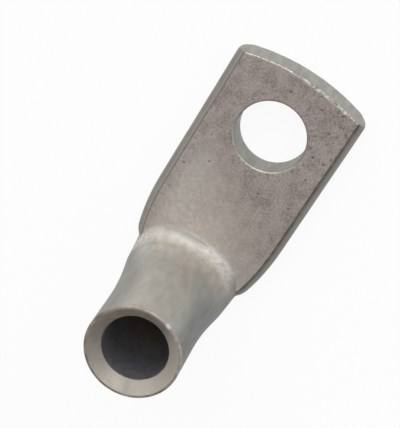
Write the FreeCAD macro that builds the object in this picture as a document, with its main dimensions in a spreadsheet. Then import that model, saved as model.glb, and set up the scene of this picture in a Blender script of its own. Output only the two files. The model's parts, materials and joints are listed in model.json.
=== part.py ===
import FreeCAD, Part
import math
import os
import Sketcher

# A tinned copper tube lug, bent up square: a round barrel that takes the stranded
# conductor, and a flat palm with a stud hole. It is one piece of tube: one end is
# pressed flat, trimmed and punched, and the tube is bent where the flat begins.
# The frame: origin at the centre of the stud hole on the palm's underside, +Z up
# along the hole and the barrel, +X along the palm towards its free end.

NODE = "cable_lug"
EXTRA = 1.0                     # how far cutting shapes reach past the metal

# name: (millimetres, what it measures)
SIZES = {
    "palm_thick": (3.0, "thickness of the flattened palm"),
    "palm_width": (13.2, "palm over its rounded sides"),
    "side_bulge": (0.75, "how far each rounded side stands out from the flat"),
    "side_step": (0.18, "drop from the pressed flat to the rounded side"),
    "hole_to_end": (6.3, "stud hole centre to the free end"),
    "end_radius": (20.0, "radius of the sheared free end"),
    "end_corner": (0.45, "corner radius at the free end"),
    "waist_start": (9.5, "stud hole centre to where the sides start to draw in"),
    "waist_radius": (21.0, "radius on which the sides draw in"),
    "palm_back": (15.3, "stud hole centre to the back of the pressed flat"),
    "back_corner": (1.2, "corner radius at the back of the pressed flat"),
    "stud_hole": (6.5, "stud hole diameter"),
    "hole_edge": (0.15, "edge break of the stud hole on the palm's upper face"),
    "hole_to_axis": (16.3, "stud hole centre to the barrel's axis"),
    "tube_outer": (8.5, "barrel's outer diameter"),
    "tube_bore": (5.8, "barrel's bore"),
    "barrel_top": (19.6, "underside of the palm to the mouth"),
    "round_start": (15.0, "height at which the barrel's outside is fully round"),
    "bore_start": (10.7, "height at which the bore is fully round"),
    "foot_front": (3.3, "barrel's axis to its front wall at the foot"),
    "foot_width": (10.1, "width across the foot of the barrel"),
    "bend_width": (11.8, "width of the bend where it leaves the palm"),
    "bend_inside": (1.35, "radius in the corner between palm and barrel"),
    "heel_radius": (6.0, "outer radius of the bend"),
    "slit": (0.3, "gap left between the walls where the flat begins"),
    "mouth_depth": (0.95, "depth of the mouth's lead-in cone"),
    "mouth_lip": (0.3, "width of the rim outside the cone"),
    "rim_edge": (0.2, "rounding of the mouth's outer edge"),
}

doc = FreeCAD.newDocument("cable_lug")
sheet = doc.addObject("Spreadsheet::Sheet", "sizes")
for row, (alias, (size, note)) in enumerate(SIZES.items(), start=1):
    sheet.set(f"A{row}", alias)
    sheet.set(f"B{row}", str(size))
    sheet.set(f"C{row}", note)
    sheet.setAlias(f"B{row}", alias)
doc.recompute()


def size_of(formula):
    """The present value of a formula on the sheet's cells."""
    found = sheet.evalExpression(formula)
    return float(getattr(found, "Value", found))


body = doc.addObject("PartDesign::Body", "lug_body")
body.Label = NODE
PLANES = {feature.Role: feature for feature in body.Origin.OriginFeatures}


def sketch_on(name, plane, offset=("0", "0", "0"), turn=0.0):
    """A sketch on one of the body's planes, moved in that plane's own axes."""
    sketch = body.newObject("Sketcher::SketchObject", name)
    sketch.AttachmentSupport = [(PLANES[plane], "")]
    sketch.MapMode = "FlatFace"
    turned = FreeCAD.Rotation(FreeCAD.Vector(1, 0, 0), turn)
    sketch.AttachmentOffset = FreeCAD.Placement(FreeCAD.Vector(), turned)
    for axis, formula in zip("xyz", offset):
        if formula != "0":
            sketch.setExpression(f"AttachmentOffset.Base.{axis}", formula)
    return sketch


def dimension(sketch, name, formula, kind, *where):
    """A dimension bound to the sheet."""
    index = sketch.addConstraint(Sketcher.Constraint(kind, *where, size_of(formula)))
    sketch.renameConstraint(index, name)
    sketch.setExpression(f"Constraints.{name}", formula)


def tie(sketch, kind, *where):
    """A constraint without a value."""
    sketch.addConstraint(Sketcher.Constraint(kind, *where))


def line(sketch, start, end):
    """A straight edge between two points of the sketch."""
    ends = [FreeCAD.Vector(point[0], point[1], 0) for point in (start, end)]
    return sketch.addGeometry(Part.LineSegment(*ends), False)


def arc(sketch, centre, radius, start_angle, end_angle):
    """A counter-clockwise arc, its angles in degrees."""
    circle = Part.Circle(FreeCAD.Vector(centre[0], centre[1], 0), FreeCAD.Vector(0, 0, 1), radius)
    span = Part.ArcOfCircle(circle, math.radians(start_angle), math.radians(end_angle))
    return sketch.addGeometry(span, False)


START, END, CENTRE = 1, 2, 3
ORIGIN = (-1, 1)
X_AXIS, Y_AXIS = -1, -2

FLAT_HALF = "(sizes.palm_width / 2 - sizes.side_bulge)"
BULGE_HALF = "(sizes.palm_thick / 2 - sizes.side_step)"
WALL = "((sizes.tube_outer - sizes.tube_bore) / 2)"

# The bend turns about a line across the lug, in the corner over the palm.
BEND_X = "(sizes.foot_front + sizes.bend_inside - sizes.hole_to_axis)"
BEND_Z = "(sizes.palm_thick + sizes.bend_inside)"
# Centre of the heel's arc, seen from that line.
HEEL_X = f"(sizes.heel_radius - sizes.hole_to_axis - sizes.tube_outer / 2 - {BEND_X})"
HEEL_Z = f"(sizes.heel_radius - {BEND_Z})"
# From that line to the barrel's axis.
REACH = "(sizes.foot_front + sizes.bend_inside)"
LEVEL = 90                      # degrees from the palm's section to the barrel's
TURN_STEP = 18                  # degrees between sections in the bend
HEEL_STEPS = 2                  # sections from the end of the bend to the top of the heel
FOOT_STEPS = 3                  # sections from there to the round tube
QUARTER = 45                    # degrees from the middle of a round tube's quarter to its end
SNAP = 0.01                     # millimetres within which two lengths count as equal
CUT_SLACK = 0.35                # share by which a cut may miss its estimated volume
TRACE_POINTS = 9                # points at which an edge is tested


def near(value, wanted):
    """Whether a length is the wanted one."""
    return abs(value - wanted) < SNAP


def palm_outline():
    """Half of the pressed flat, from beyond the free end to its rounded back corner."""
    front, half = size_of(f"sizes.hole_to_end + {EXTRA}"), size_of(FLAT_HALF)
    back, waist = -size_of("sizes.palm_back"), -size_of("sizes.waist_start")
    radius, corner = size_of("sizes.waist_radius"), size_of("sizes.back_corner")
    turned = math.asin((waist - back - corner) / (radius - corner))
    drawn = math.degrees(turned)
    shift = half - radius + (radius - corner) * math.cos(turned)
    outline = sketch_on("palm_outline", "XY_Plane")
    end = line(outline, (front, 0), (front, half))
    side = line(outline, (front, half), (waist, half))
    draw_in = arc(outline, (waist, half - radius), radius, 90, 90 + drawn)
    round_off = arc(outline, (back + corner, shift), corner, 90 + drawn, 180)
    rear = line(outline, (back, shift), (back, 0))
    middle = line(outline, (back, 0), (front, 0))
    tie(outline, "Coincident", end, END, side, START)
    tie(outline, "Tangent", side, END, draw_in, START)
    tie(outline, "Tangent", draw_in, END, round_off, START)
    tie(outline, "Tangent", round_off, END, rear, START)
    tie(outline, "Coincident", rear, END, middle, START)
    tie(outline, "Coincident", middle, END, end, START)
    tie(outline, "Vertical", end)
    tie(outline, "Horizontal", side)
    tie(outline, "Vertical", rear)
    tie(outline, "PointOnObject", middle, START, X_AXIS)
    tie(outline, "PointOnObject", middle, END, X_AXIS)
    dimension(outline, "front", f"sizes.hole_to_end + {EXTRA}", "DistanceX", *ORIGIN, end, START)
    dimension(outline, "back", "sizes.palm_back", "DistanceX", rear, END, *ORIGIN)
    dimension(outline, "waist", "sizes.waist_start", "DistanceX", side, END, *ORIGIN)
    dimension(outline, "half", FLAT_HALF, "DistanceY", *ORIGIN, side, START)
    dimension(outline, "draw_in", "sizes.waist_radius", "Radius", draw_in)
    dimension(outline, "corner", "sizes.back_corner", "Radius", round_off)
    return outline


def side_profile():
    """Section of the rounded side, a step below the flat, lapping into it."""
    lap = EXTRA / 2
    half, low = size_of(FLAT_HALF), size_of("sizes.side_step")
    high = size_of(f"sizes.palm_thick / 2 + {BULGE_HALF}")
    rounding = f"({BULGE_HALF} ^ 2 + sizes.side_bulge ^ 2) / (2 * sizes.side_bulge)"
    radius = size_of(rounding)
    turned = math.degrees(math.asin((high - low) / 2 / radius))
    centre = (half + size_of("sizes.side_bulge") - radius, (low + high) / 2)
    profile = sketch_on("side_profile", "YZ_Plane", ("0", "0", f"sizes.hole_to_end + {EXTRA}"))
    under = line(profile, (half - lap, low), (half, low))
    bulge = arc(profile, centre, radius, -turned, turned)
    over = line(profile, (half, high), (half - lap, high))
    inner = line(profile, (half - lap, high), (half - lap, low))
    tie(profile, "Coincident", under, END, bulge, START)
    tie(profile, "Coincident", bulge, END, over, START)
    tie(profile, "Coincident", over, END, inner, START)
    tie(profile, "Coincident", inner, END, under, START)
    tie(profile, "Horizontal", under)
    tie(profile, "Horizontal", over)
    tie(profile, "Vertical", inner)
    tie(profile, "Vertical", bulge, START, bulge, END)
    dimension(profile, "half", FLAT_HALF, "DistanceX", *ORIGIN, bulge, START)
    dimension(profile, "low", "sizes.side_step", "DistanceY", *ORIGIN, bulge, START)
    dimension(profile, "high", f"2 * {BULGE_HALF}", "DistanceY", bulge, START, bulge, END)
    dimension(profile, "lap", f"{lap}", "DistanceX", under, START, under, END)
    dimension(profile, "rounding", rounding, "Radius", bulge)
    return profile


def end_outline():
    """What the shear takes off one half of the free end, with its corner."""
    end, radius = size_of("sizes.hole_to_end"), size_of("sizes.end_radius")
    corner, half = size_of("sizes.end_corner"), size_of("sizes.palm_width / 2")
    turned = math.asin((half - corner) / (radius - corner))
    shift = end - radius + (radius - corner) * math.cos(turned)
    outside, above = end + 2 * EXTRA, half + EXTRA
    outline = sketch_on("end_outline", "XY_Plane")
    edge = arc(outline, (end - radius, 0), radius, 0, math.degrees(turned))
    round_off = arc(outline, (shift, half - corner), corner, math.degrees(turned), 90)
    rise = line(outline, (shift, half), (shift, above))
    across = line(outline, (shift, above), (outside, above))
    fall = line(outline, (outside, above), (outside, 0))
    back = line(outline, (outside, 0), (end, 0))
    tie(outline, "PointOnObject", edge, START, X_AXIS)
    tie(outline, "PointOnObject", edge, CENTRE, X_AXIS)
    tie(outline, "Tangent", edge, END, round_off, START)
    tie(outline, "Vertical", round_off, END, round_off, CENTRE)
    tie(outline, "Coincident", round_off, END, rise, START)
    tie(outline, "Coincident", rise, END, across, START)
    tie(outline, "Coincident", across, END, fall, START)
    tie(outline, "Coincident", fall, END, back, START)
    tie(outline, "Coincident", back, END, edge, START)
    tie(outline, "Vertical", rise)
    tie(outline, "Horizontal", across)
    tie(outline, "Vertical", fall)
    tie(outline, "Horizontal", back)
    dimension(outline, "end", "sizes.hole_to_end", "DistanceX", *ORIGIN, edge, START)
    dimension(outline, "edge", "sizes.end_radius", "Radius", edge)
    dimension(outline, "corner", "sizes.end_corner", "Radius", round_off)
    dimension(outline, "half", "sizes.palm_width / 2", "DistanceY", *ORIGIN, round_off, END)
    dimension(outline, "reach", f"sizes.hole_to_end + {2 * EXTRA}", "DistanceX", *ORIGIN, fall, END)
    dimension(outline, "above", f"sizes.palm_width / 2 + {EXTRA}", "DistanceY", *ORIGIN, rise, END)
    return outline


def ring(name, plane, offset, centre, diameter):
    """A circle on a moved plane, its centre on that plane's first axis."""
    sketch = sketch_on(name, plane, offset)
    middle = FreeCAD.Vector(size_of(centre), 0, 0)
    up = FreeCAD.Vector(0, 0, 1)
    circle = sketch.addGeometry(Part.Circle(middle, up, size_of(diameter) / 2), False)
    tie(sketch, "PointOnObject", circle, CENTRE, X_AXIS)
    if centre == "0":
        tie(sketch, "PointOnObject", circle, CENTRE, Y_AXIS)
    else:
        dimension(sketch, "centre", f"-{centre}", "DistanceX", circle, CENTRE, *ORIGIN)
    dimension(sketch, "across", diameter, "Diameter", circle)
    return sketch


def bend_line():
    """The line the bend's sections follow, from the palm to under the barrel."""
    reach, across, height = size_of(REACH), size_of(BEND_X), size_of(BEND_Z)
    path = sketch_on("bend_line", "XZ_Plane")
    turn = arc(path, (across, height), reach, 180, 270)
    tie(path, "Horizontal", turn, START, turn, CENTRE)
    tie(path, "Vertical", turn, END, turn, CENTRE)
    dimension(path, "bend_x", f"-{BEND_X}", "DistanceX", turn, CENTRE, *ORIGIN)
    dimension(path, "bend_z", BEND_Z, "DistanceY", *ORIGIN, turn, CENTRE)
    dimension(path, "reach", REACH, "Radius", turn)
    return path


def oval_section(name, turn, rise, near_wall, far_wall, half_width):
    """An oval across the tube: how far its near and far walls lie from the bend's line,
    on a plane turned down about that line, or raised above it once it is level."""
    sketch = sketch_on(name, "YZ_Plane", ("0", f"{BEND_Z} + {rise}", BEND_X), turn)
    half_depth = f"({far_wall} - {near_wall}) / 2"
    middle = f"({far_wall} + {near_wall}) / 2"
    centre = FreeCAD.Vector(0, -size_of(middle), 0)
    wide, deep = size_of(half_width), size_of(half_depth)
    if near(wide, deep):
        up = FreeCAD.Vector(0, 0, 1)
        oval = sketch.addGeometry(Part.Circle(centre, up, wide), False)
        dimension(sketch, "wide", half_width, "Radius", oval)
    else:
        across = centre + FreeCAD.Vector(wide, 0, 0)
        along = centre + FreeCAD.Vector(0, deep, 0)
        oval = sketch.addGeometry(Part.Ellipse(across, along, centre), False)
        sketch.exposeInternalGeometry(oval)
        tie(sketch, "Horizontal", oval + 1)
        dimension(sketch, "wide", f"2 * {half_width}", "Distance", oval + 1)
        dimension(sketch, "deep", f"2 * {half_depth}", "Distance", oval + 2)
    tie(sketch, "PointOnObject", oval, CENTRE, Y_AXIS)
    dimension(sketch, "middle", middle, "DistanceY", oval, CENTRE, *ORIGIN)
    return sketch


def ring_section(name, turn, rise, near_wall, far_wall, half_width):
    """A flattened ring on the same plane as the oval, of four arcs that meet without a
    corner. The flatter it is, the less its long arcs turn; as deep as wide, it is round."""
    sketch = sketch_on(name, "YZ_Plane", ("0", f"{BEND_Z} + {rise}", BEND_X), turn)
    own = {
        "wide": half_width,
        "deep": f"({far_wall} - {near_wall}) / 2",
        "middle": f"({far_wall} + {near_wall}) / 2",
        "lean": f"{QUARTER} * {name}.deep / {name}.wide",
        "spread": f"({name}.wide - {name}.deep) / (sin({name}.lean) + cos({name}.lean) - 1)",
        "side_radius": f"{name}.wide - {name}.spread * sin({name}.lean)",
        "long_radius": f"{name}.side_radius + {name}.spread",
        "joint_across": f"{name}.long_radius * sin({name}.lean)",
        "joint_deep": f"{name}.side_radius * cos({name}.lean)",
    }
    for word, formula in own.items():
        sketch.addProperty("App::PropertyFloat", word)
        sketch.setExpression(word, formula)
    sketch.recompute()
    middle, lean = sketch.middle, sketch.lean
    aside = sketch.wide - sketch.side_radius
    under = sketch.long_radius - sketch.deep
    upper = arc(sketch, (0, -middle - under), sketch.long_radius, 90 - lean, 90 + lean)
    left = arc(sketch, (-aside, -middle), sketch.side_radius, 90 + lean, 270 - lean)
    lower = arc(sketch, (0, under - middle), sketch.long_radius, 270 - lean, 270 + lean)
    right = arc(sketch, (aside, -middle), sketch.side_radius, lean - 90, 90 - lean)
    turns = [upper, left, lower, right]
    for here, there in zip(turns, turns[1:] + turns[:1]):
        tie(sketch, "Coincident", here, END, there, START)
    for here, there in ((upper, lower), (left, right)):
        tie(sketch, "Equal", here, there)
    for long_arc, outer, name_of in ((upper, START, "upper"), (lower, END, "lower")):
        tie(sketch, "Symmetric", long_arc, START, long_arc, END, Y_AXIS)
        dimension(sketch, f"{name_of}_joint", f"{name}.joint_across", "DistanceX", *ORIGIN,
                  long_arc, outer)
    dimension(sketch, "upper_depth", f"{name}.middle - {name}.joint_deep", "DistanceY",
              upper, START, *ORIGIN)
    dimension(sketch, "lower_depth", f"{name}.middle + {name}.joint_deep", "DistanceY",
              lower, END, *ORIGIN)
    dimension(sketch, "long_turn", f"{name}.long_radius", "Radius", upper)
    dimension(sketch, "side_turn", f"{name}.side_radius", "Radius", right)
    return sketch


def heel_reach(turn):
    """From the bend's line to the heel's arc, along a plane turned down by so many degrees."""
    along = f"(-sin({turn}) * {HEEL_X} - cos({turn}) * {HEEL_Z})"
    inside = f"(sizes.heel_radius ^ 2 - {HEEL_X} ^ 2 - {HEEL_Z} ^ 2 + {along} ^ 2)"
    return f"({along} + sqrt({inside}))"


def width_at(turn):
    """Half the bend's width, going evenly from the palm to the foot."""
    return f"(sizes.bend_width + (sizes.foot_width - sizes.bend_width) * {turn / LEVEL}) / 2"


def back_wall(height):
    """From the bend's line back to the outer wall, at a height up to the heel's top."""
    return f"(sqrt(sizes.heel_radius ^ 2 - (sizes.heel_radius - {height}) ^ 2) - {HEEL_X})"


def bend_sections():
    """The outside of the bend, from the palm to the foot of the barrel."""
    return [ring_section(f"bend_{turn}", turn, "0", "sizes.bend_inside", heel_reach(turn),
                         width_at(turn))
            for turn in range(0, LEVEL + 1, TURN_STEP)]


def cavity_sections():
    """The inside of the bend: a slit where the flat begins, opening towards the bore."""
    made = []
    foot_deep = f"(({heel_reach(LEVEL)} - sizes.bend_inside) / 2 - {WALL})"
    for turn in range(TURN_STEP, LEVEL + 1, TURN_STEP):
        middle = f"((sizes.bend_inside + {heel_reach(turn)}) / 2)"
        share = (turn - TURN_STEP) / (LEVEL - TURN_STEP)
        deep = f"(sizes.slit / 2 + ({foot_deep} - sizes.slit / 2) * {share})"
        made.append(oval_section(f"cavity_{turn}", turn, "0", f"({middle} - {deep})",
                                 f"({middle} + {deep})", f"({width_at(turn)} - {WALL})"))
    return made


def foot_sections(name, shape, top, inset):
    """Up from the end of the bend to where the tube is round, outside or set in by a wall."""
    heel_rise = f"(sizes.heel_radius - {BEND_Z})"
    heights = [f"({BEND_Z} + {heel_rise} * {step / HEEL_STEPS})"
               for step in range(1, HEEL_STEPS + 1)]
    backs = [back_wall(height) for height in heights]
    for step in range(1, FOOT_STEPS + 1):
        heights.append(f"(sizes.heel_radius + ({top} - sizes.heel_radius) * {step / FOOT_STEPS})")
        backs.append(back_wall("sizes.heel_radius"))
    made = []
    for number, (height, back) in enumerate(zip(heights, backs), start=1):
        left = f"((({top} - {height}) / ({top} - {BEND_Z})) ^ 2)"
        narrower = f"((sizes.tube_outer / 2 - sizes.foot_front) * {left})"
        wider = f"((sizes.foot_width - sizes.tube_outer) / 2 * {left})"
        front = f"(sizes.tube_outer / 2 - {narrower} - {inset})"
        half = f"(sizes.tube_outer / 2 + {wider} - {inset})"
        made.append(shape(f"{name}_{number}", LEVEL, f"({height} - {BEND_Z})",
                          f"({REACH} - {front})", f"({back} - {inset})", half))
    return made


def mouth_profile():
    """Half the section of what the bore and the lead-in cone take out."""
    lip = size_of("sizes.tube_outer / 2 - sizes.mouth_lip")
    bore, cone = size_of("sizes.tube_bore / 2"), size_of("sizes.mouth_depth")
    deep = size_of("sizes.barrel_top - sizes.bore_start")
    profile = sketch_on("mouth_profile", "XZ_Plane", ("-sizes.hole_to_axis", "sizes.barrel_top", "0"))
    points = [(0, 0), (lip, 0), (bore, -cone), (bore, -deep), (0, -deep)]
    sides = [line(profile, start, end) for start, end in zip(points, points[1:] + points[:1])]
    for here, there in zip(sides, sides[1:] + sides[:1]):
        tie(profile, "Coincident", here, END, there, START)
    top, lead_in, wall, floor, middle = sides
    tie(profile, "PointOnObject", top, START, X_AXIS)
    tie(profile, "PointOnObject", top, START, Y_AXIS)
    tie(profile, "Horizontal", top)
    tie(profile, "Vertical", wall)
    tie(profile, "Horizontal", floor)
    tie(profile, "Vertical", middle)
    dimension(profile, "lip", "sizes.tube_outer / 2 - sizes.mouth_lip", "DistanceX", *ORIGIN, top, END)
    dimension(profile, "bore", "sizes.tube_bore / 2", "DistanceX", *ORIGIN, wall, START)
    dimension(profile, "cone", "sizes.mouth_depth", "DistanceY", wall, START, *ORIGIN)
    dimension(profile, "deep", "sizes.barrel_top - sizes.bore_start", "DistanceY", wall, END, *ORIGIN)
    return profile


def feature(kind, name, **settings):
    """A feature of the body; lengths, radii and sizes given as text are formulas."""
    made = body.newObject(f"PartDesign::{kind}", name)
    for key, value in settings.items():
        if key in ("Length", "Radius", "Size"):
            made.setExpression(key, value)
        else:
            setattr(made, key, value)
    doc.recompute()
    return made


def cut(kind, name, wanted, **settings):
    """A feature that takes metal away, about as much as the wanted volume."""
    before = body.Tip.Shape.Volume
    made = feature(kind, name, **settings)
    removed = before - made.Shape.Volume
    if abs(removed - wanted) > CUT_SLACK * wanted:
        raise RuntimeError(f"{name} took away {removed:.1f} mm3, not about {wanted:.1f}")
    return made


def edges_where(shape, test):
    """The names of the edges whose points all pass a test."""
    found = []
    for number, edge in enumerate(shape.Edges, start=1):
        points = edge.discretize(TRACE_POINTS)
        if all(test(point) for point in points):
            found.append(f"Edge{number}")
    return found


outline = palm_outline()
doc.recompute()
flat = feature("Pad", "flat", Profile=outline, Length="sizes.palm_thick")
side = feature("AdditivePipe", "rounded_side", Profile=side_profile(),
               Spine=(outline, ["Edge2", "Edge3", "Edge4"]))
past_end = f"({EXTRA} + sizes.palm_width ^ 2 / (24 * sizes.end_radius))"
sheared = cut("Pocket", "sheared_end",
              size_of(f"{past_end} * sizes.palm_width / 2 * sizes.palm_thick"),
              Profile=end_outline(), Length="sizes.palm_thick", Reversed=True)
palm = feature("Mirrored", "whole_palm", TransformMode="Whole shape",
               MirrorPlane=(PLANES["XZ_Plane"], [""]))
body.Tip = palm

arc_line = bend_line()
outer = bend_sections()
bend = feature("AdditivePipe", "bend", Profile=outer[0], Sections=outer[1:],
               Spine=(arc_line, ["Edge1"]), Transformation="Multisection")
foot = feature("AdditiveLoft", "foot", Profile=outer[-1],
               Sections=foot_sections("foot", ring_section, "sizes.round_start", "0"))
barrel_ring = ring("barrel_ring", "XY_Plane", ("0", "0", "sizes.round_start"),
                   "(-sizes.hole_to_axis)", "sizes.tube_outer")
barrel = feature("Pad", "barrel", Profile=barrel_ring,
                 Length="sizes.barrel_top - sizes.round_start")

inner = cavity_sections()
bore_area = "(pi * (sizes.tube_bore / 2) ^ 2)"
cavity = cut("SubtractivePipe", "cavity", size_of(f"{bore_area} / 2 * pi / 2 * {REACH}"),
             Profile=inner[0], Sections=inner[1:], Spine=(arc_line, ["Edge1"]),
             Transformation="Multisection")
inside = cut("SubtractiveLoft", "inside", size_of(f"{bore_area} * (sizes.bore_start - {BEND_Z})"),
             Profile=inner[-1],
             Sections=foot_sections("inside", oval_section, "sizes.bore_start", WALL))
mouth = mouth_profile()
bore = cut("Groove", "bore", size_of(f"{bore_area} * (sizes.barrel_top - sizes.bore_start)"),
           Profile=mouth, ReferenceAxis=(mouth, ["V_Axis"]))
hole_ring = ring("hole_ring", "XY_Plane", ("0", "0", "0"), "0", "sizes.stud_hole")
hole = cut("Pocket", "stud_hole", size_of("pi * (sizes.stud_hole / 2) ^ 2 * sizes.palm_thick"),
           Profile=hole_ring, Length="sizes.palm_thick", Reversed=True)

thick, stud_reach = size_of("sizes.palm_thick"), size_of("sizes.stud_hole / 2")
top, rim_reach = size_of("sizes.barrel_top"), size_of("sizes.tube_outer / 2")
axis = size_of("sizes.hole_to_axis")
hole_edges = edges_where(hole.Shape, lambda p: near(math.hypot(p.x, p.y), stud_reach)
                         and near(p.z, thick))
broken = feature("Chamfer", "hole_edge", Base=(hole, hole_edges), Size="sizes.hole_edge")
rim_edges = edges_where(broken.Shape, lambda p: near(math.hypot(p.x + axis, p.y), rim_reach)
                        and near(p.z, top))
rim = feature("Fillet", "rim_edge", Base=(broken, rim_edges), Radius="sizes.rim_edge")
body.Tip = rim
body.Placement = FreeCAD.Placement()
doc.recompute()

for item in doc.Objects:
    if "Invalid" in item.State or "Error" in item.State:
        raise RuntimeError(f"{item.Name} did not build: {item.State}")
if body.Shape.isNull() or not body.Shape.isValid() or len(body.Shape.Solids) != 1:
    raise RuntimeError(f"{body.Label} is not one sound solid")
os.makedirs("parts", exist_ok=True)
body.Shape.exportStep(f"parts/{body.Label}.step")
print(f"{body.Label}: one solid, {body.Shape.Volume:.1f} mm3")
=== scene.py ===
# %% [markdown]
# # An angled cable lug in tinned copper
#
# The real thing is one piece of soft copper tube. One end is pressed flat, trimmed and
# punched for a stud, the tube is bent up square, and then the lug is tumbled and tin
# plated. So there is one piece to model and one metal to finish, and the interest lies in
# how each stretch of that metal was worked: pressed, bent, sheared or chamfered. Light
# and shade are also painted into its colour in places.

# %% Load the imported lug
import json
import math
import random

import bpy
from mathutils import Matrix, Vector

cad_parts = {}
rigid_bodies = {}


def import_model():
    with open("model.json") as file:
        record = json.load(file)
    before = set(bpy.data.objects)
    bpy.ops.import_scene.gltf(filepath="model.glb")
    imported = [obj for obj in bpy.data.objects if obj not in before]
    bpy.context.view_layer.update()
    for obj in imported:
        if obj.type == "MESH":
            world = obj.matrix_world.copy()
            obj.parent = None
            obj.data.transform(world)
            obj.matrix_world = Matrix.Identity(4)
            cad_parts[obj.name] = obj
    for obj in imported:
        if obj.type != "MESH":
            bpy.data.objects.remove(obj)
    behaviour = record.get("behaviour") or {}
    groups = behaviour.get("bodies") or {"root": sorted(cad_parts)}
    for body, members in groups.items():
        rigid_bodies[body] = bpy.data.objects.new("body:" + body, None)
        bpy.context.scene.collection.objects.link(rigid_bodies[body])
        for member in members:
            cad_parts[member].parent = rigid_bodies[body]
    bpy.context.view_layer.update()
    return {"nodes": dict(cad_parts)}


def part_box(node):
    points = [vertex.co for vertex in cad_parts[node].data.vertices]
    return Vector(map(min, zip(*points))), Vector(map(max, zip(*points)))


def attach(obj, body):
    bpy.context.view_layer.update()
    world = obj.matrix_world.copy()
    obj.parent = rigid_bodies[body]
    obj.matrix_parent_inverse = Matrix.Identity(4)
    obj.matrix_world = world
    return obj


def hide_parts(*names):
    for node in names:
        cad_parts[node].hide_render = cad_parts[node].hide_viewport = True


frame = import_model()
MM = 0.001
lug_low, lug_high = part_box("cable_lug")
print("lug, in mm:", [round(size / MM, 2) for size in lug_high - lug_low])

# %% [markdown]
# ## The places that the finishes follow
#
# The solid already has its true form. The finishes still need to know where one way of
# working the metal stops and the next begins. Those places could be read back from the
# mesh, but a few numbers are plainer. They are in millimetres, from the middle of the
# stud hole on the palm's underside.

# %% Named places on the lug
PALM_TOP = 3.0
PALM_BACK = -15.3                       # the palm's back edge, under the heel
FLAT_HALF = 5.85                        # half the width of the pressed flat
SIDE_STEP = 0.18                        # drop from the flat to the rounded sides
STUD_RADIUS = 3.25
END_RADIUS = 20.0                       # of the sheared free end, seen from above
BARREL_AXIS = -16.3
BARREL_RADIUS = 4.25
CONE_DEPTH = 0.95                       # of the chamfer in the mouth
MOUTH_LIP = 0.3                         # width of the rim outside that chamfer
MOUTH_TOP = lug_high.z / MM
FREE_END = lug_high.x / MM
print("mouth at", round(MOUTH_TOP, 2), "and free end at", round(FREE_END, 2))

# %% [markdown]
# ## The skin: one even mesh over the whole lug
#
# Tumbling and plating leave soft copper without one sharp edge, and its flats are never
# quite flat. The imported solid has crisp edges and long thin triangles, which can't be
# sculpted. A subdivision surface would need a cage drawn by hand round every edge. A
# voxel remesh of a copy is quicker: it lays even small faces over the whole form, inside
# the barrel too, and a few rounds of smoothing then round each edge as tumbling does.

# %% Copy the solid and close its triangles
SAME_POINT = 0.001                      # mm within which two points are one


def pick(piece):
    """Makes this the only selected object, as a click on it would."""
    bpy.ops.object.select_all(action="DESELECT")
    piece.select_set(True)
    bpy.context.view_layer.objects.active = piece


pick(frame["nodes"]["cable_lug"])
bpy.ops.object.duplicate(linked=False)
lug = bpy.context.object
bpy.ops.object.parent_clear(type="CLEAR_KEEP_TRANSFORM")
lug.name = "lug_skin"
bpy.ops.object.mode_set(mode="EDIT")
bpy.ops.mesh.select_all(action="SELECT")
bpy.ops.mesh.remove_doubles(threshold=SAME_POINT * MM)
bpy.ops.object.mode_set(mode="OBJECT")
print("closed copy:", len(lug.data.vertices), "points")

# %% Remesh it evenly and soften its edges
SKIN_GRID = 0.08                        # mm, the size of the skin's faces
EDGE_ROUNDS = 4                         # of smoothing, which round edges by a few faces


def finish_with(kind, **settings):
    """Adds one modifier to the lug and applies it at once."""
    modifier = lug.modifiers.new(kind.lower(), kind)
    for name, value in settings.items():
        setattr(modifier, name, value)
    bpy.ops.object.modifier_apply(modifier=modifier.name)


finish_with("REMESH", mode="VOXEL", voxel_size=SKIN_GRID * MM)
finish_with("SMOOTH", factor=0.5, iterations=EDGE_ROUNDS)
print("skin:", len(lug.data.polygons), "faces of", SKIN_GRID, "mm")

# %% [markdown]
# ## Where each tool worked, and where light and shade are painted
#
# On the real lug each way of working the metal ends where a tool ended, so the borders
# follow the form. Painting them by hand would do, but each is one short rule on where a
# point is and which way it faces. A rule gives a share from 0 to 1, and serves twice: as
# the weights of a modifier that shapes the metal there, and as a mask for a material.
# Most rules are products of ramps, whose two limits are in millimetres or degrees.

# %% Where a point is, and which way it faces
def ramp(start, end, value):
    """From 0 at start to 1 at end, eased at both."""
    share = min(max((value - start) / (end - start), 0.0), 1.0)
    return share * share * (3 - 2 * share)


def tilt(normal):
    """How many degrees a face leans from lying flat."""
    return math.degrees(math.acos(min(abs(normal.z), 1.0)))


def below_flat(place):
    """How far a point is inside the palm from its upper or lower flat."""
    return min(PALM_TOP - place.z, place.z)


def from_hole(place):
    """How far a point is from the wall of the stud hole."""
    return math.hypot(place.x, place.y) - STUD_RADIUS


def on_palm(place):
    """Whether a point is on the palm rather than on the heel behind it."""
    return ramp(PALM_BACK + 0.05, PALM_BACK + 0.65, place.x)


print("top of the palm, share of the palm:", on_palm(Vector((0.0, 0.0, PALM_TOP))))

# %% [markdown]
# ## The palm's faces
#
# Tin follows the copper under it, so the marks of each tool show through the plating. The
# press bruised both flats to mauve and left dark flecks, thickest at the end's right.
# Beside the bend the metal was drawn over a tool, which wiped it pale again.

# %% Rules for the palm's faces
def is_pressed(place, normal):
    """The flats that the press left on the palm, and nothing beside or above them."""
    near_flat = 1 - ramp(0.07, 0.11, abs(below_flat(place)))
    level = 1 - ramp(12, 30, tilt(normal))
    return on_palm(place) * (near_flat * level)


def is_neck(place, normal):
    """The palm beside the bend, wiped clean as the metal drew over the tool."""
    return is_pressed(place, normal) * (1 - ramp(-13.0, -3.0, place.x - 0.9 * place.y))


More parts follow.
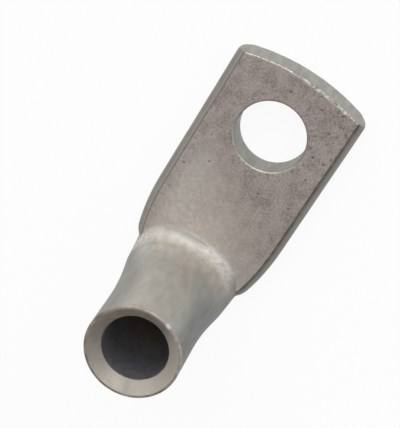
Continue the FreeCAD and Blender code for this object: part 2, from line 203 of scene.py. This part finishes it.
def is_soiled(place, normal):
    """Where the press left dark flecks: the end's right, round the hole, the left edge."""
    near_end = ramp(1.0, 7.0, 0.7 * place.x - place.y)
    near_hole = 0.8 * (1 - ramp(0.5, 1.6, from_hole(place)))
    near_left = 0.7 * ramp(4.2, 5.6, place.y)
    return is_pressed(place, normal) * max(near_end, near_hole, near_left)


palm_middle = Vector((-6.0, 0.0, PALM_TOP))
for rule in (is_pressed, is_neck, is_soiled):
    share = rule(palm_middle, Vector((0.0, 0.0, 1.0)))
    print(rule.__name__, "in the palm's middle:", round(share, 2))

# %% [markdown]
# ## The palm's edges
#
# Along each side the press stopped short and left a crease. Painted shade darkens the
# crease, broadly on the right, and a painted highlight lies on a narrow ledge outside it
# on the left. The blade tore the end's upper edge, and that edge and one side of the
# punched hole's upper edge carry painted highlights.

# %% Rules for the palm's edges
def at_top(place):
    """Whether a point is at the level of the palm's upper edges."""
    return 1 - ramp(0.12, 0.3, PALM_TOP - place.z)


def is_painted_shade_crease(place, normal):
    """Painted shade in the crease where the press stopped, short of the rounded sides."""
    if place.x > FREE_END - 1.6 and abs(place.y) < FLAT_HALF - 0.3:
        return 0.0                      # the sheared end has no crease
    broad_right, narrow_left = (0.30, 1.0), (0.08, 0.7)
    reach, strength = broad_right if place.y < 0 else narrow_left
    off_hole = ramp(0.3, 0.8, from_hole(place))
    depth = below_flat(place)
    crease = ramp(0.06, 0.10, depth) * (1 - ramp(SIDE_STEP, SIDE_STEP + reach, depth))
    return strength * on_palm(place) * off_hole * crease


def is_painted_highlight_ledge(place, normal):
    """A painted highlight on the narrow ledge outside the left crease."""
    depth = below_flat(place)
    on_left = on_palm(place) * ramp(4.5, 5.5, place.y)
    return on_left * ramp(0.24, 0.3, depth) * (1 - ramp(0.38, 0.55, depth))


def is_torn_edge_and_highlight(place, normal):
    """The upper edge of the sheared end, broader where the blade broke out last, torn in the
    mesh and given a painted highlight.
    """
    if place.x < 4.0 or abs(place.y) > FLAT_HALF + 0.1:
        return 0.0
    from_end = END_RADIUS - math.hypot(place.x - FREE_END + END_RADIUS, place.y)
    reach = 0.16 + 0.24 * ramp(-2.5, 1.0, -place.y) * (1 - ramp(4.0, 5.4, -place.y))
    return (1 - ramp(0.5 * reach, reach, from_end)) * at_top(place)


def is_hole_edge(place, normal):
    """A painted highlight on the upper edge of the stud hole, on the side towards the bend."""
    on_edge = ramp(-0.1, 0.02, from_hole(place)) * (1 - ramp(0.13, 0.2, from_hole(place)))
    toward_bend = ramp(-0.2, 1.5, -place.x)
    return toward_bend * on_edge * at_top(place)


end_middle = Vector((FREE_END, 0.0, PALM_TOP))
print("is_torn_edge_and_highlight at the end's middle:", round(is_torn_edge_and_highlight(end_middle, Vector((1.0, 0.0, 0.0))), 2))

# %% [markdown]
# ## The tube
#
# The inside of the bend carries a painted highlight, and the front of the tube, which
# faces the lamp, is painted lighter, most at its foot, with a blush of copper where the
# tin is thinnest. The right flank is painted darker and bluish, as painted shade.

# %% Rules for the tube
LAMP_SIDE_OF_TUBE = Vector((0.99, 0.1, 0.0))   # the side of the tube that faces the lamp, painted lighter
BLUSH_ACROSS, BLUSH_UP = 0.3, 8.0       # the middle of the blush


def off_axis(place):
    """How far a point is from the barrel's axis."""
    return math.hypot(place.x - BARREL_AXIS, place.y)


def toward(place, degrees):
    """How squarely a point of the tube lies to one side, turned left from the palm."""
    angle = math.atan2(place.y, place.x - BARREL_AXIS)
    return math.cos(angle - math.radians(degrees))


def is_painted_highlight_bend(place, normal):
    """A painted highlight along the inside of the bend, where the tube rises from the palm."""
    if not 2.9 < place.z < 6.5 or off_axis(place) < 3.0:
        return 0.0
    lean = tilt(normal)
    front = 1 - ramp(62, 80, lean)
    left = 0.85 * ramp(1.5, 4.2, place.y) * (1 - ramp(3.9, 4.9, place.z))
    dull_left = 0.75 * ramp(-1.5, 0.8, place.y) * (1 - ramp(3.0, 4.8, place.y))
    dull_right = 0.75 * ramp(3.1, 4.9, -place.y)
    in_front = ramp(BARREL_AXIS - 2.5, BARREL_AXIS + 1.0, place.x)
    share = (1 - dull_left - dull_right) * max(front, left) * in_front
    return share * ramp(4, 8, lean) * ramp(2.97, 3.01, place.z)


def is_painted_light_front(place, normal):
    """Painted light on the front of the tube, which faces the lamp, most at its foot."""
    narrow = 0.35 * ramp(6.0, 13.0, place.z)
    fade = 1 - 0.45 * ramp(5.0, 9.0, place.z)
    facing = normal.dot(LAMP_SIDE_OF_TUBE)
    return fade * ramp(0.25 + narrow, 0.97, facing) * ramp(2.9, 3.2, place.z)


def is_blush(place, normal):
    """A blush of copper on the tube's front, where the tin is thinnest."""
    aside = math.hypot(place.y - BLUSH_ACROSS, place.z - BLUSH_UP)
    return 0.5 * (1 - ramp(0.3, 1.4, aside)) * ramp(0.5, 0.9, normal.x)


def is_painted_shade_flank(place, normal):
    """Painted shade on the right flank of the tube, darker and bluish."""
    return ramp(-0.1, 0.85, -normal.y) * ramp(3.0, 7.5, place.z)


front_of_tube = Vector((BARREL_AXIS + BARREL_RADIUS, 0.0, BLUSH_UP))
for rule in (is_painted_highlight_bend, is_painted_light_front, is_blush, is_painted_shade_flank):
    share = rule(front_of_tube, Vector((1.0, 0.0, 0.0)))
    print(rule.__name__, "on the tube's front:", round(share, 2))

# %% [markdown]
# ## The mouth and the bore
#
# The edge outside the cone is rolled and brownish, with a painted highlight on one side.
# The cone itself carries painted shade on one side and painted highlights on two others,
# and the bore loses its tin with depth.

# %% Rules for the mouth and the bore
# Where each painted light and shade lies round the mouth, in degrees turned left from the palm.
RIM_HIGHLIGHT_AT, CONE_SHADE_AT, CONE_HIGHLIGHT_AT, CONE_SOFT_HIGHLIGHT_AT = -42, 55, -85, 150
BARE_BELOW, TINNED_ABOVE = 8.5, 15.5    # heights in the bore between which the tin fades


def in_cone(place):
    """Whether a point is as high as the mouth's cone."""
    return ramp(MOUTH_TOP - 1.2, MOUTH_TOP - 0.9, place.z)


def is_rim(place, normal):
    """The narrow rolled edge outside the mouth's cone."""
    return ramp(3.86, 3.98, off_axis(place)) * ramp(MOUTH_TOP - 0.28, MOUTH_TOP - 0.1, place.z)


def is_painted_highlight_rim(place, normal):
    """The part of that edge that carries a painted highlight."""
    return is_rim(place, normal) * ramp(0.55, 0.95, toward(place, RIM_HIGHLIGHT_AT))


def is_painted_shade_cone(place, normal):
    """The side of the mouth's cone that carries painted shade."""
    return ramp(-0.25, 0.85, toward(place, CONE_SHADE_AT)) * in_cone(place)


def is_painted_highlight_cone(place, normal):
    """The two sides of the mouth's cone that carry painted highlights, one brighter."""
    brightest = ramp(0.1, 0.9, toward(place, CONE_HIGHLIGHT_AT))
    bright = 0.4 * ramp(0.5, 0.97, toward(place, CONE_SOFT_HIGHLIGHT_AT))
    return max(brightest, bright) * in_cone(place)


def is_deep(place, normal):
    """The bore away from its mouth, where little tin reached the copper."""
    return 1 - ramp(BARE_BELOW, TINNED_ABOVE, place.z)


for depth in (0.0, 5.0, 10.0):
    share = is_deep(Vector((BARREL_AXIS, 0.0, MOUTH_TOP - depth)), Vector((1.0, 0.0, 0.0)))
    print("bore", depth, "mm down, bare of tin:", round(share, 2))

# %% [markdown]
# ## Sculpting the worn metal
#
# Real plating is not a perfect offset of the tool. The press leaves a fine orange-peel
# grain and a few pits, the whole tube waves a little, and the sheared edge is torn. These
# are made in the mesh, by Displace modifiers that only ever push inwards, so that the
# lug stays inside its true size. Bump in a material would look the same from above but
# would leave the outline ruler-straight.

# %% Pits and plain metal
LARGE_PITS = ((0.55, -4.17, 0.2), (4.58, 0.6, 0.18), (5.22, -4.36, 0.18), (2.33, -3.3, 0.15))
SMALL_PITS = 24                         # scattered over the palm, most near its end

random.seed(11)
pits = list(LARGE_PITS)                 # where along and across the palm, and how wide
for _ in range(SMALL_PITS):
    pits.append((random.triangular(-9.5, 5.8, 4.5), random.uniform(-5.5, 5.5),
                 random.uniform(0.07, 0.16)))


def is_pit(place, normal):
    """The small pits that scale left under the press."""
    if abs(below_flat(place)) > 0.1 or place.x < -10:
        return 0.0
    return max(1 - ramp(0.3 * wide, wide, math.hypot(place.x - x, place.y - y))
               for x, y, wide in pits)


def is_plain(place, normal):
    """Metal away from the crisp edges of the palm's top and of the mouth."""
    if place.z < PALM_TOP:
        return 1 - ramp(2.3, 2.6, place.z)
    top = MOUTH_TOP - (0.35 if off_axis(place) > 4.1 else CONE_DEPTH + 0.2)
    return ramp(PALM_TOP, PALM_TOP + 0.1, place.z) * (1 - ramp(top - 0.3, top, place.z))


print(len(pits), "pits")

# %% Press the wear into the skin
PLAIN_ROUNDS = 24                       # of smoothing, which take out the remesh's steps
PIT_DEPTH = 0.05                        # mm
MOST_TRIANGLES = 195000                 # at most, in the decimated skin; a piece stays under 200,000


def weigh(name, rule):
    """Makes the rule's shares the weights of a vertex group."""
    group = lug.vertex_groups.new(name=name)
    for point in lug.data.vertices:
        share = rule(point.co / MM, point.normal)
        if share > 0:
            group.add([point.index], share, "REPLACE")
    return name


def press_in(name, depth, grain, group=""):
    """Pushes the skin in by up to a depth, in clouds as large as the grain, in mm."""
    clouds = bpy.data.textures.new(name, "CLOUDS")
    clouds.noise_scale = grain * MM
    clouds.noise_depth = 2
    finish_with("DISPLACE", texture=clouds, texture_coords="LOCAL", mid_level=1.0,
                strength=depth * MM, vertex_group=group)


finish_with("SMOOTH", factor=0.5, iterations=PLAIN_ROUNDS,
            vertex_group=weigh("plain_metal", is_plain))
press_in("slow_waves", 0.03, 2.5)
press_in("orange_peel", 0.018, 0.3, weigh("pressed_faces", is_pressed))
press_in("torn_edge", 0.09, 0.5, weigh("torn_metal", is_torn_edge_and_highlight))
finish_with("DISPLACE", mid_level=0.0, strength=-PIT_DEPTH * MM,
            vertex_group=weigh("pits", is_pit))
finish_with("DECIMATE", ratio=MOST_TRIANGLES / (2 * len(lug.data.polygons)))
bpy.ops.object.shade_smooth()
print("sculpted:", sum(len(face.vertices) - 2 for face in lug.data.polygons), "triangles")

# %% [markdown]
# ## Masks for the finishes
#
# The same rules are now painted on the points of the finished mesh, as attributes that a
# material can read. A painted image would have to be stored somewhere and would need the
# lug to be unwrapped; an attribute needs neither.

# %% Paint the masks
RULES = (is_pressed, is_neck, is_soiled, is_painted_shade_crease, is_painted_highlight_ledge, is_torn_edge_and_highlight, is_hole_edge, is_pit,
         is_painted_highlight_bend, is_painted_light_front, is_blush, is_painted_shade_flank, is_rim, is_painted_highlight_rim, is_painted_shade_cone, is_painted_highlight_cone,
         is_deep)


def paint(name, rule):
    """Writes the rule's share on every point of the lug."""
    layer = lug.data.attributes.new(name, "FLOAT", "POINT")
    shares = [rule(point.co / MM, point.normal) for point in lug.data.vertices]
    layer.data.foreach_set("value", shares)
    print(name, "covers", round(sum(shares) / len(shares), 3))


for rule in RULES:
    paint(rule.__name__.removeprefix("is_"), rule)

# %% [markdown]
# ## Helpers for colours and nodes
#
# Colours are written as they look on a screen and are turned to linear light in one
# place, and every node is added by one function. Two patterns come back from metal to
# metal, so each is made once: a cloudy change between two colours, and a layer that shows
# only where its painted mask lets it through, used for wear and for painted light and shade.

# %% Colours and nodes
def srgb(code):
    """A colour written as #rrggbb, as the linear values that nodes work in."""
    parts = [int(code[place:place + 2], 16) / 255 for place in (1, 3, 5)]
    return [p / 12.92 if p < 0.04045 else ((p + 0.055) / 1.055) ** 2.4 for p in parts] + [1]


def add_node(tree, kind, sockets=None, **settings):
    """Adds a node, and gives each named socket a link, a colour code or a number."""
    made = tree.nodes.new(kind)
    for name, value in settings.items():
        setattr(made, name, value)
    for socket, value in (sockets or {}).items():
        if isinstance(value, bpy.types.NodeSocket):
            tree.links.new(value, made.inputs[socket])
        else:
            made.inputs[socket].default_value = srgb(value) if isinstance(value, str) else value
    return made


def new_material(name):
    """An empty material."""
    material = bpy.data.materials.new(name)
    material.use_nodes = True
    material.node_tree.nodes.clear()
    return material


print("white in linear light:", srgb("#ffffff"))

# %% Patterns that the metals share
NUMBER_A, NUMBER_B = 2, 3               # a Mix node's sockets when it mixes numbers
MIX_A, MIX_B, MIXED = 6, 7, 2           # and when it mixes colours


def cloudy(tree, size, dark, light, low=0.35, high=0.65, detail=3.0, stretch=(1, 1, 1)):
    """A cloudy change between two colours, with clouds of about a size in mm."""
    place = add_node(tree, "ShaderNodeTexCoord").outputs["Object"]
    place = add_node(tree, "ShaderNodeMapping", {"Vector": place, "Scale": stretch}).outputs[0]
    noise = add_node(tree, "ShaderNodeTexNoise",
                     {"Vector": place, "Scale": 1 / (size * MM), "Detail": detail})
    share = add_node(tree, "ShaderNodeMapRange",
                     {"Value": noise.outputs["Fac"], "From Min": low, "From Max": high})
    return add_node(tree, "ShaderNodeMix",
                    {0: share.outputs[0], MIX_A: dark, MIX_B: light},
                    data_type="RGBA").outputs[MIXED]


def mix_wear_and_light(tree, name, under, over):
    """One colour over another where a painted mask lets it through, and the mask."""
    share = add_node(tree, "ShaderNodeAttribute", attribute_name=name).outputs["Fac"]
    both = add_node(tree, "ShaderNodeMix", {0: share, MIX_A: under, MIX_B: over},
                    data_type="RGBA").outputs[MIXED]
    return both, share


def plate(tree, colour, metallic, roughness):
    """Ends a material's tree in one metal surface."""
    metal = add_node(tree, "ShaderNodeBsdfPrincipled",
                     {"Base Color": colour, "Metallic": metallic, "Roughness": roughness})
    add_node(tree, "ShaderNodeOutputMaterial", {"Surface": metal.outputs[0]})
    print(len(tree.nodes), "nodes")


# %% [markdown]
# ## The tumbled tin plating
#
# Matt tin on tumbled copper is a satin grey metal: a little green where it is clean, and
# mauve over the copper that the press bruised. Painted shade makes the tube's right flank
# bluish and darker, and painted light makes its front and the bend cream. A photograph
# projected on the lug would hold its shadows too, and separate materials would meet at
# hard lines. So this is one material in layers: the grey tin lies underneath, and each
# painted mask lets one layer through, a worked finish, a painted light or a painted shade.

# %% Clean tin and pressed tin
tin = new_material("tumbled_tin_plate")
tree = tin.node_tree

# Electroplated matt tin, dulled by its oxide: a greenish satin grey that clouds slowly.
# Its clouds are drawn long, up the tube, as the tube was drawn through its die.
ALONG_TUBE = (1, 1, 0.4)
colour = cloudy(tree, 1.2, "#8f8d85", "#9d9c93", low=0.25, high=0.75, stretch=ALONG_TUBE)

# The same tin after the press. Its grain is a tenth of a millimetre on the real lug; it
# is drawn at twice that, which is as fine as the picture can show. Patches are bruised.
grain = cloudy(tree, 0.2, "#b2a6a0", "#c9beb8", detail=4.0)
bruised = cloudy(tree, 0.2, "#9b8e88", "#bbb0aa", detail=4.0)
palm = cloudy(tree, 1.3, grain, bruised, low=0.42, high=0.62, detail=4.0)
flecked = cloudy(tree, 0.34, palm, "#7c6e66", low=0.57, high=0.72, detail=4.0)
print("clean and pressed tin:", len(tree.nodes), "nodes")

# %% Layers of wear, and of painted light and shade
# From the lowest: a mask, what shows through it, and how rough that is. The pale layers,
# painted highlights among them, are smoother than the tumbled tube; the flecks, the pits
# and the painted shade in the creases are duller.
LAYERS = (
    # Painted shade: the tube's right flank is painted darker and bluish.
    ("painted_shade_flank", cloudy(tree, 0.5, "#808180", "#8d8e8a", stretch=(1, 1, 0.12)), None),
    # Painted light: the front of the tube, towards the lamp, is painted lighter.
    ("painted_light_front", cloudy(tree, 0.7, "#c1bdb4", "#d5d1c9", detail=5.0, stretch=ALONG_TUBE), 0.55),
    ("blush", "#ccb5a7", None),
    ("pressed", palm, 0.6),
    ("neck", cloudy(tree, 0.35, "#cbc2bb", "#dcd5ce", detail=5.0), 0.55),
    ("soiled", flecked, 0.62),
    # Painted shade: the creases along the palm's sides are painted dark, broadest on the right.
    ("painted_shade_crease", cloudy(tree, 0.5, "#5a5046", "#857a6d"), 0.7),
    # Painted highlight: the ledge outside the left crease is painted pale.
    ("painted_highlight_ledge", "#aea59b", 0.55),
    ("pit", "#7d6f69", 0.65),
    # Painted highlight: the inside of the bend is painted pale and bright.
    ("painted_highlight_bend", cloudy(tree, 0.25, "#c3beb6", "#dcd8d2", stretch=(1, 0.5, 1)), 0.58),
    # Painted highlight: the torn upper edge of the end is painted near white in broken streaks.
    ("torn_edge_and_highlight", cloudy(tree, 0.3, "#b0a69f", "#f4f2ef", low=0.42, high=0.62), 0.42),
    # Painted highlight: one side of the hole's upper edge is painted pale.
    ("hole_edge", cloudy(tree, 0.7, "#b3aea7", "#d2cec8"), 0.45),
    ("rim", cloudy(tree, 0.9, "#8f8078", "#b5aaa2"), 0.45),
    # Painted highlight: one side of the rim is painted near white.
    ("painted_highlight_rim", cloudy(tree, 0.6, "#b1a59d", "#e8e3df", low=0.5, high=0.68), 0.45),
)
roughness = 0.6
for name, finish, rough in LAYERS:
    colour, share = mix_wear_and_light(tree, name, colour, finish)
    if rough:
        both = {0: share, NUMBER_A: roughness, NUMBER_B: rough}
        roughness = add_node(tree, "ShaderNodeMix", both).outputs[0]

# Clean tin would be fully metallic. Its oxide scatters a third of the light like paint.
plate(tree, colour, 0.65, roughness)

# %% [markdown]
# ## Sheared and punched metal
#
# The wall of the stud hole and the end face were cut by a blade before the plating. They
# take the tin evenly and have no press grain, only faint lines along the blade's stroke.
# A separate material is enough here, because a real edge parts them from the palm.

# %% Sheared tin
# Copper cut by a blade, then tinned: the greenest and evenest grey on the lug, with
# lines half a millimetre apart that run down the cut.
sheared = new_material("sheared_tin_plate")
tree = sheared.node_tree
plate(tree, cloudy(tree, 0.5, "#97978e", "#a8a89f", stretch=(1, 1, 0.2)), 0.7, 0.55)

# %% [markdown]
# ## The turned mouth
#
# A cutter turned the cone that leads the strands in. A ring of geometry with one colour
# would look like plastic, because real turned metal brightens and darkens on its way
# round. Here two masks paint that into the colour: painted shade along one side, and
# painted highlights on two other sides.

# %% Turned mouth
# Copper turned by a form cutter, then tinned: a warm light grey, satin rather than
# bright, clouded at about the width of the cutter's chatter, 0.8 mm.
turned = new_material("turned_mouth")
tree = turned.node_tree
colour = cloudy(tree, 0.8, "#9b948b", "#a7a198")
# Painted highlights on two sides of the cone.
colour, _ = mix_wear_and_light(tree, "painted_highlight_cone", colour, "#d2cac0")
# Painted shade on one side of the cone.
colour, _ = mix_wear_and_light(tree, "painted_shade_cone", colour, cloudy(tree, 0.8, "#9f958a", "#aea59a"))
plate(tree, colour, 0.7, 0.58)

# %% [markdown]
# ## The dull bore
#
# Plating hardly reaches down a narrow tube. Near the mouth the bore is a thin bluish
# grey, and deeper down the drawn copper is a dull warm grey. Plain black would do for one
# view; a real metal here keeps the wall round from every side, because it still catches
# the light of the mouth.

# %% Dull bore
# Drawn copper under a flash of tin, dulled by its oxide: half metal, half film.
bore = new_material("dull_bore")
tree = bore.node_tree
near = cloudy(tree, 0.6, "#737277", "#818084")
far = cloudy(tree, 0.6, "#c0b6b1", "#cac0bb")
colour, _ = mix_wear_and_light(tree, "deep", near, far)
plate(tree, colour, 0.5, 0.6)

# %% [markdown]
# ## Which face is which metal
#
# The four metals meet at real edges: the rim of the hole, the sheared end, and the two
# ends of the cone. So each face of the skin takes its metal from where it lies.

# %% Give each face its metal
METALS = (tin, sheared, turned, bore)
PALM_OR_TUBE, CUT, CONE, INSIDE = range(4)


def metal_of(place, normal):
    """The number of the metal that a face is made of."""
    outward = Vector((place.x - BARREL_AXIS, place.y, 0.0)).normalized()
    near_axis = off_axis(place) < BARREL_RADIUS + 0.35 and place.z > 0.6
    faces_axis = normal.dot(outward) < -0.1
    if near_axis and faces_axis and place.z < MOUTH_TOP - CONE_DEPTH:
        return INSIDE
    if place.z > MOUTH_TOP - CONE_DEPTH and off_axis(place) < BARREL_RADIUS - MOUTH_LIP:
        return CONE
    in_hole = from_hole(place) < 0.05 and tilt(normal) > 50
    at_end = place.x > 4.8 and normal.x > 0.75
    return CUT if in_hole or at_end else PALM_OR_TUBE


lug.data.materials.clear()
for material in METALS:
    lug.data.materials.append(material)
slots = [metal_of(face.center / MM, face.normal) for face in lug.data.polygons]
lug.data.polygons.foreach_set("material_index", slots)
for number, material in enumerate(METALS):
    print(material.name, "covers", slots.count(number), "faces")
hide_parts("cable_lug")
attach(lug, "root")

# %% [markdown]
# ## The floor
#
# The lug stands on a plain white sheet, as small hardware is photographed for a
# catalogue. A white sheet under lamps comes out grey at its far end. So for the camera
# and in reflections the sheet glows at just under white, and only the rest of it is lit
# by the lamps, which is enough to show the lug's soft shadow.

# %% White sheet
FLOOR_WIDE = 3.0                        # metres
FLOOR_DROP = 0.01                       # mm under the palm, so that the two never meet
GLOW_SHARE = 0.92                       # the rest is left for the lug's shadow

bpy.ops.object.select_all(action="DESELECT")
bpy.ops.mesh.primitive_plane_add(size=FLOOR_WIDE, location=(0, 0, -FLOOR_DROP * MM))
floor = bpy.context.object
floor.name = "floor"
paper = new_material("white_paper")
tree = paper.node_tree
rays = add_node(tree, "ShaderNodeLightPath").outputs
seen = rays["Is Camera Ray"]
for kind in ("Is Glossy Ray", "Is Transmission Ray"):
    either = {0: seen, 1: rays[kind]}
    seen = add_node(tree, "ShaderNodeMath", either, operation="MAXIMUM").outputs[0]
glowing = {0: seen, 1: GLOW_SHARE}
share = add_node(tree, "ShaderNodeMath", glowing, operation="MULTIPLY").outputs[0]
sheet = add_node(tree, "ShaderNodeBsdfDiffuse", {"Color": "#fdfdfd"}).outputs[0]
glow = add_node(tree, "ShaderNodeEmission", {"Color": "#ffffff", "Strength": 1.0}).outputs[0]
mixed = add_node(tree, "ShaderNodeMixShader", {0: share, 1: sheet, 2: glow}).outputs[0]
add_node(tree, "ShaderNodeOutputMaterial", {"Surface": mixed})
floor.data.materials.append(paper)
print("floor:", round(floor.dimensions.x, 1), "m wide")

# %% [markdown]
# ## The light
#
# The photograph was taken in a light tent: even light from all sides, and one large soft
# lamp in front of the palm and a little to its left, which brightens the tube's front,
# the bend and the near side of the cone. Even light is the world's; the lamp is one area
# light, because a sun would draw a hard shadow.

# %% The light tent
TENT_LIGHT, TENT_SEEN = 0.45, 1.0       # how bright it shines, and how bright it looks

world = bpy.data.worlds.new("light_tent")
bpy.context.scene.world = world
world.use_nodes = True
world.node_tree.nodes.clear()
tree = world.node_tree
seen = add_node(tree, "ShaderNodeLightPath").outputs["Is Camera Ray"]
lit, white = [add_node(tree, "ShaderNodeBackground",
                       {"Color": "#ffffff", "Strength": strength}).outputs[0]
              for strength in (TENT_LIGHT, TENT_SEEN)]
both = add_node(tree, "ShaderNodeMixShader", {0: seen, 1: lit, 2: white}).outputs[0]
add_node(tree, "ShaderNodeOutputWorld", {"Surface": both})
print("light tent:", len(tree.nodes), "nodes")

# %% The soft lamp
LAMP_TOWARD = Vector((0.85, 0.28, 0.6)).normalized()
LAMP_AWAY = 0.45                        # metres
LAMP_WIDE = 0.5                         # metres
LAMP_POWER = 1.5                        # watts

bpy.ops.object.light_add(type="AREA", location=LAMP_TOWARD * LAMP_AWAY)
lamp = bpy.context.object
lamp.name = "soft_lamp"
lamp.rotation_euler = LAMP_TOWARD.to_track_quat("Z", "Y").to_euler()
lamp.data.size = LAMP_WIDE
lamp.data.energy = LAMP_POWER
print("lamp at", [round(value, 2) for value in lamp.location])

# %% [markdown]
# ## The camera
#
# A long lens, close to the lug and high above its palm, turned so that the palm runs up
# to the right and the mouth faces the viewer. The angles come from matching points of
# the hole, the end and the mouth with the photograph; setting it by eye was not as near.

# %% Camera
AIM = Vector((-9.93, 1.56, 3.0)) * MM
DISTANCE = 131.49 * MM
AZIMUTH, ELEVATION, ROLL = 88.99, 65.45, 213.66     # degrees
LENS = 121.39                           # mm
NEAREST = 10 * MM                       # that the camera sees

turn = (Matrix.Rotation(math.radians(AZIMUTH), 4, "Z")
        @ Matrix.Rotation(math.radians(90 - ELEVATION), 4, "X")
        @ Matrix.Rotation(math.radians(ROLL), 4, "Z"))
bpy.ops.object.camera_add()
camera = bpy.context.object
camera.matrix_world = Matrix.Translation(AIM) @ turn @ Matrix.Translation((0, 0, DISTANCE))
camera.data.lens = LENS
camera.data.clip_start = NEAREST
bpy.context.scene.camera = camera
print("camera at", [round(value, 3) for value in camera.matrix_world.translation])

# %% [markdown]
# ## Showing the colours
#
# The colours are shown as rendered, with the plain Standard view transform. The skin
# must not stand proud of the real lug.

# %% Show the colours as rendered
bpy.context.scene.view_settings.view_transform = "Standard"
